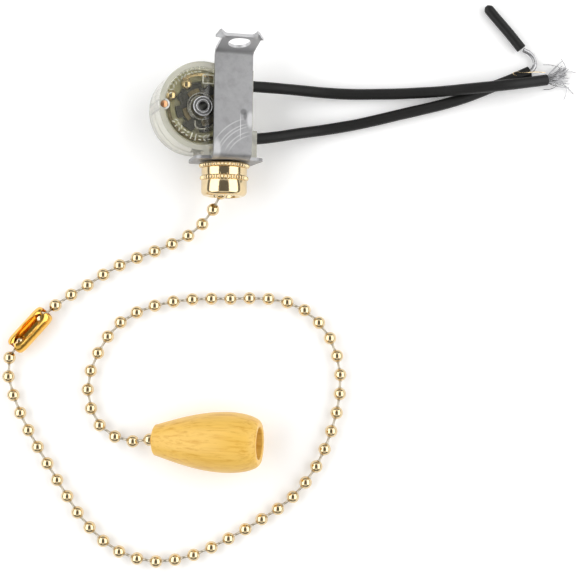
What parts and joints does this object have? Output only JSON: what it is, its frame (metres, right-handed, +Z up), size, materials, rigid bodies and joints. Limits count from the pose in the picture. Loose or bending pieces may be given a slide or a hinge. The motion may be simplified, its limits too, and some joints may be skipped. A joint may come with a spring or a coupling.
{
  "type": "pull cord switch",
  "caption": "Round clear canopy switch on a bent metal bracket, with a knurled brass cap nut, a ball chain with a barrel coupling, a turned wooden pull and two short leads.",
  "frame": {"origin": "on the surface that the switch lies on, under the middle of the box of its casing, bracket and cap nut", "axes": "+Y along the nipple's axis from the chain's mouth towards the bracket's tab, +X towards the side that the leads leave by, +Z up from the surface; the casing leans 15.8 degrees about Y towards +X"},
  "size_m": [0.1424, 0.1442, 0.0267],
  "materials": {
    "clear_plastic": "clear, slightly milky, polished",
    "olive_plastic": "tinted, smooth",
    "black_plastic": "moulded",
    "cream_plastic": "moulded",
    "zinc_sheet": "zinc plated sheet, lightly scratched",
    "brass": "polished, pale gold",
    "gold_brass": "polished, deep gold",
    "steel": "bright",
    "copper": "plain copper",
    "tinned_copper": "tinned strands",
    "black_vinyl": "satin wire insulation",
    "varnished_beech": "clear varnish over fine grain"
  },
  "bodies": {
    "switch_body": {"housing_front": "clear_plastic", "housing_back": "clear_plastic", "centre_eyelet": "steel", "side_rivet": "copper", "threaded_nipple": "brass", "bracket": "zinc_sheet", "return_spring": "steel", "contact_carrier": "olive_plastic", "upper_contact": "brass", "lower_contact": "brass", "upper_lead": "black_vinyl", "lower_lead": "black_vinyl", "upper_lead_inner_core": "tinned_copper", "lower_lead_inner_core": "tinned_copper", "upper_lead_strands": "tinned_copper", "lower_lead_core": "tinned_copper", "stripped_sleeve": "black_vinyl"},
    "cap_nut": {"knurled_cap_nut": "brass"},
    "drum": {"pull_drum": "cream_plastic", "drum_chain": "brass"},
    "rotor": {"ratchet_wheel": "black_plastic", "rotor_contact": "brass"},
    "pull_chain": {"upper_pull_chain": "brass", "chain_coupling": "gold_brass", "lower_pull_chain": "brass", "wood_knob": "varnished_beech", "knob_stop": "brass"}
  },
  "joints": [
    {"name": "chain_pull", "type": "slide", "parent": "switch_body", "child": "pull_chain", "axis": [0, -1, 0], "range_m": [0, 0.01115], "stiffness_N_per_m": 400},
    {"name": "drum_turn", "type": "hinge", "parent": "switch_body", "child": "drum", "pos_m": [-0.00199, 0.00247, 0.01017], "axis": [0.2723, 0, 0.9622], "range_deg": [-90.5, 0]},
    {"name": "rotor_turn", "type": "hinge", "parent": "switch_body", "child": "rotor", "pos_m": [-0.00199, 0.00247, 0.01017], "axis": [0.2723, 0, 0.9622], "continuous": true},
    {"name": "nut_turn", "type": "hinge", "parent": "switch_body", "child": "cap_nut", "pos_m": [0.00484, -0.01488, 0.00824], "axis": [0, 1, 0], "continuous": true}
  ],
  "couplings": [
    {"joint": "drum_turn", "follows": "chain_pull", "rad_per_m": -140.84}
  ]
}
